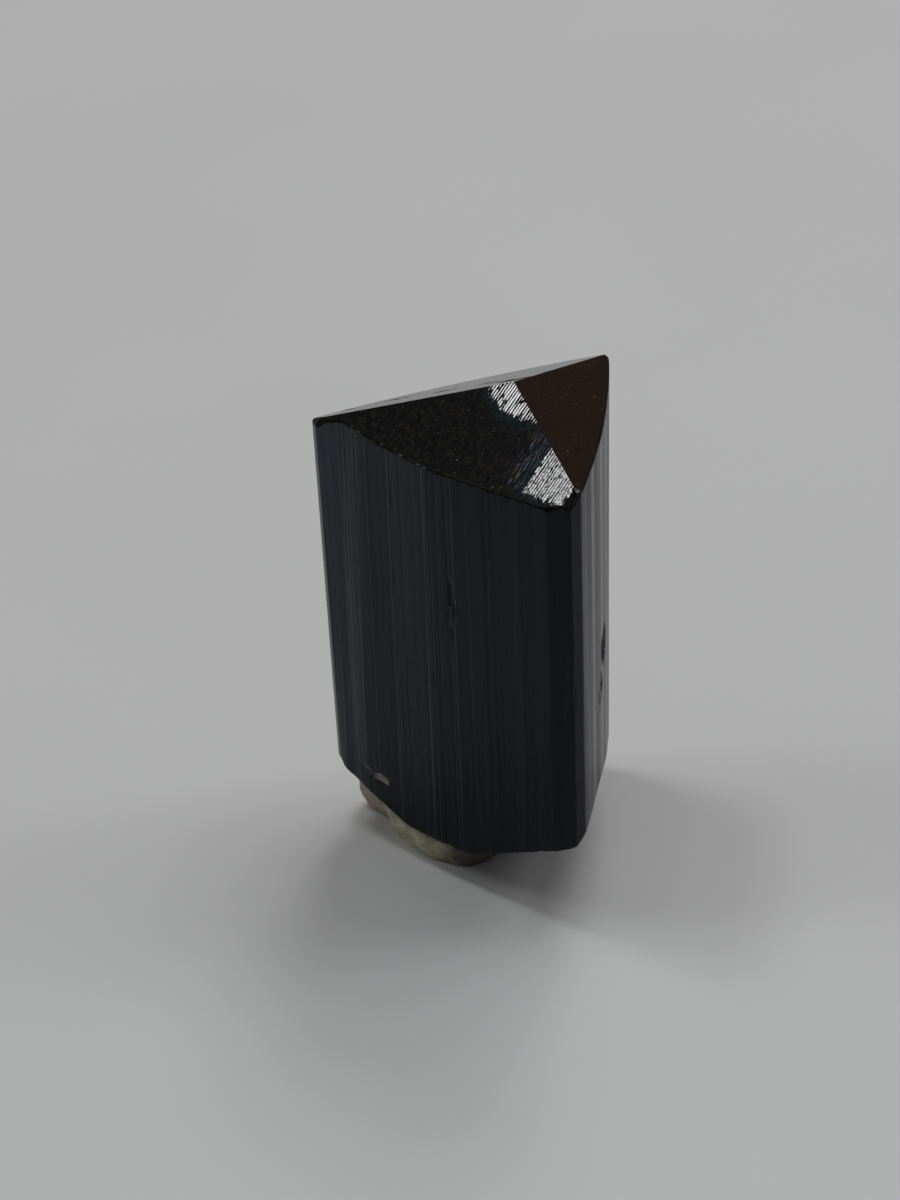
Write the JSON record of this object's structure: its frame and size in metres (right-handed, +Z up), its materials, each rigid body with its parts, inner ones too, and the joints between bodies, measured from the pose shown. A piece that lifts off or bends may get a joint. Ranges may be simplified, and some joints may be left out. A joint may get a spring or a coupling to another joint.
{
  "type": "tourmaline crystal",
  "caption": "Black tourmaline prism with striated, slightly convex sides and a low faceted end, standing on a small pale feldspar remnant.",
  "frame": {"origin": "middle of the bounding box in plan, on the plane the matrix stands on", "axes": "+Z up along the crystal's c-axis; +Y away from the broad striated side that faces the viewer; +X to the viewer's right"},
  "size_m": [0.0174, 0.0166, 0.0328],
  "materials": {
    "schorl": "glassy black, striated",
    "feldspar": "matt, granular",
    "pink_feldspar": "silky cleavage"
  },
  "bodies": {
    "root": {"schorl_crystal": "schorl", "feldspar_matrix": "feldspar", "feldspar_flake": "pink_feldspar"}
  },
  "joints": []
}
